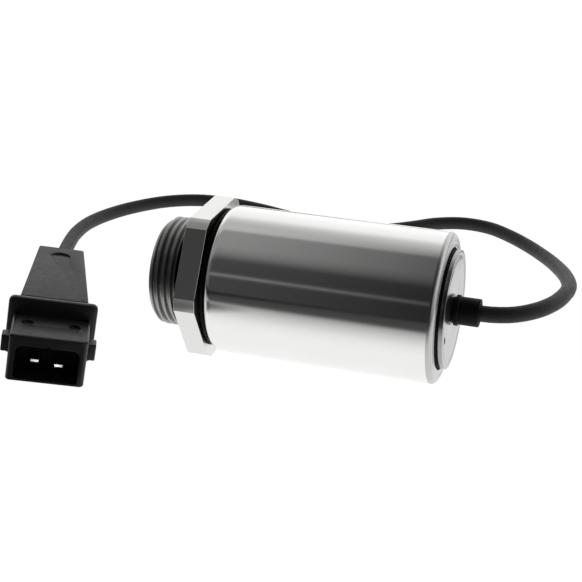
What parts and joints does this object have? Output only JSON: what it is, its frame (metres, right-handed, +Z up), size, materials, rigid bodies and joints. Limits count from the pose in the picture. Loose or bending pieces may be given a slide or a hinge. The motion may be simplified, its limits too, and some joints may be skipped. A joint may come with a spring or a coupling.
{
  "type": "solenoid cartridge valve",
  "caption": "Screw-in solenoid cartridge valve: threaded nose with a turned hexagon, bright coil barrel, gland, and a cable that ends in a two-way plug.",
  "frame": {"origin": "on the resting surface, under the middle of the valve body without its cable and plug", "axes": "+X along the valve axis from the threaded nose to the cable gland, +Z up as the valve lies on its side, +Y to the side the cable lies on"},
  "size_m": [0.1341, 0.1304, 0.0325],
  "materials": {
    "nose_body": "turned and milled plated steel",
    "barrel": "bright turned steel",
    "end_plate": "satin plated steel",
    "seat_insert": "machined brass",
    "filter_screen": "perforated stainless steel",
    "port_o_ring": "black nitrile rubber",
    "hex_seal_ring": "black nitrile rubber",
    "tube_o_ring": "black nitrile rubber",
    "rear_seal_ring": "black nitrile rubber",
    "cable_gland": "black rubber",
    "connector_boot": "matt black rubber",
    "connector_housing": "black glass-filled nylon",
    "cable": "black cable jacket",
    "guide_tube": "drawn stainless steel",
    "front_pole_ring": "soft magnetic iron",
    "armature": "ground magnetic stainless steel",
    "poppet_seal": "fluorocarbon rubber",
    "return_spring": "spring steel wire",
    "pole_core": "magnetic stainless steel",
    "anti_residual_disc": "brass shim",
    "rear_flux_washer": "soft magnetic iron",
    "core_nut": "plated steel",
    "bobbin": "natural nylon",
    "winding": "enamelled copper wire",
    "coil_wrap": "polyimide tape",
    "coil_lead_left": "insulated lead",
    "coil_lead_right": "insulated lead",
    "contact_left": "tin plated brass",
    "contact_right": "tin plated brass",
    "conductor_left": "insulated conductor",
    "conductor_right": "insulated conductor"
  },
  "bodies": {
    "housing": {"nose_body": "nose_body", "barrel": "barrel", "end_plate": "end_plate", "seat_insert": "seat_insert", "filter_screen": "filter_screen", "port_o_ring": "port_o_ring", "hex_seal_ring": "hex_seal_ring", "tube_o_ring": "tube_o_ring", "rear_seal_ring": "rear_seal_ring", "cable_gland": "cable_gland", "connector_boot": "connector_boot", "connector_housing": "connector_housing", "cable": "cable", "guide_tube": "guide_tube", "front_pole_ring": "front_pole_ring", "return_spring": "return_spring", "pole_core": "pole_core", "anti_residual_disc": "anti_residual_disc", "rear_flux_washer": "rear_flux_washer", "core_nut": "core_nut", "bobbin": "bobbin", "winding": "winding", "coil_wrap": "coil_wrap", "coil_lead_left": "coil_lead_left", "coil_lead_right": "coil_lead_right", "contact_left": "contact_left", "contact_right": "contact_right", "conductor_left": "conductor_left", "conductor_right": "conductor_right"},
    "plunger": {"armature": "armature", "poppet_seal": "poppet_seal"}
  },
  "joints": [
    {"name": "plunger_lift", "type": "slide", "parent": "housing", "child": "plunger", "axis": [1, 0, 0], "range_m": [0, 0.0012], "stiffness_N_per_m": 600, "springref_m": -0.005, "deforming": ["return_spring"]}
  ]
}
